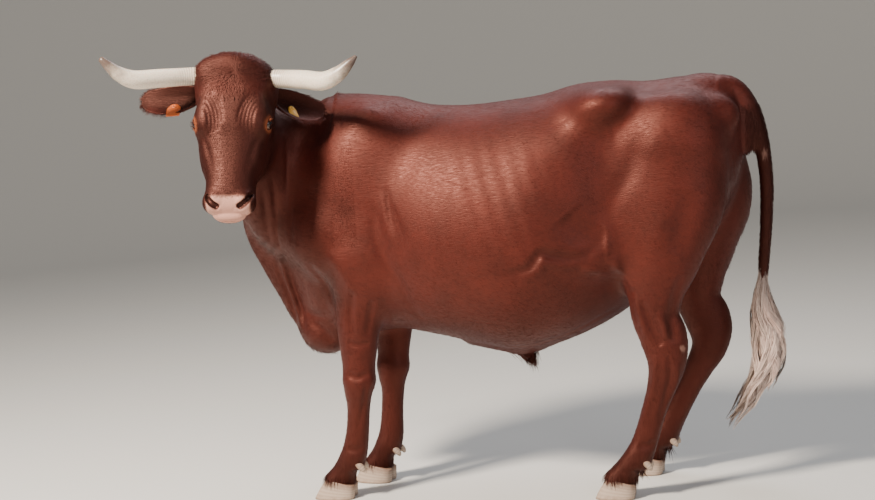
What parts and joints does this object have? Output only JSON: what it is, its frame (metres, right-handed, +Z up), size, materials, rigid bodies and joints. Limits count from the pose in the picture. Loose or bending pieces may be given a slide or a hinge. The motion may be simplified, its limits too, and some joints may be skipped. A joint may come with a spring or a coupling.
{
  "type": "cattle",
  "caption": "Life-size still model of a young retinta bull, standing with its head turned to the left.",
  "frame": {"origin": "middle of the bounding box's underside, on the floor between the feet", "axes": "+Z up, the head points along -X, the animal's left side faces -Y"},
  "size_m": [2.1555, 0.8962, 1.6246],
  "materials": {
    "coat_hide": "short glossy hair",
    "horn_sheath": "polished horn",
    "hoof_horn": "dull horn",
    "eyeball": "wet gloss",
    "tail_hair": "long wavy hair",
    "tag_plastic_orange": "moulded",
    "tag_plastic_yellow": "moulded"
  },
  "bodies": {
    "root": {"claw_fore_left_left": "hoof_horn", "claw_fore_left_right": "hoof_horn", "claw_fore_right_left": "hoof_horn", "claw_fore_right_right": "hoof_horn", "claw_hind_left_left": "hoof_horn", "claw_hind_left_right": "hoof_horn", "claw_hind_right_left": "hoof_horn", "claw_hind_right_right": "hoof_horn", "dewclaw_fore_left_left": "hoof_horn", "dewclaw_fore_left_right": "hoof_horn", "dewclaw_fore_right_left": "hoof_horn", "dewclaw_fore_right_right": "hoof_horn", "dewclaw_hind_left_left": "hoof_horn", "dewclaw_hind_left_right": "hoof_horn", "dewclaw_hind_right_left": "hoof_horn", "dewclaw_hind_right_right": "hoof_horn", "ear_left": "coat_hide", "ear_right": "coat_hide", "ear_tag_left": "tag_plastic_yellow", "ear_tag_right": "tag_plastic_orange", "eye_left": "eyeball", "eye_right": "eyeball", "fore_leg_left": "coat_hide", "fore_leg_right": "coat_hide", "head": "coat_hide", "hind_leg_left": "coat_hide", "hind_leg_right": "coat_hide", "horn_left": "horn_sheath", "horn_right": "horn_sheath", "neck": "coat_hide", "scrotum": "coat_hide", "tail": "coat_hide", "tail_switch": "tail_hair", "torso": "coat_hide"}
  },
  "joints": []
}
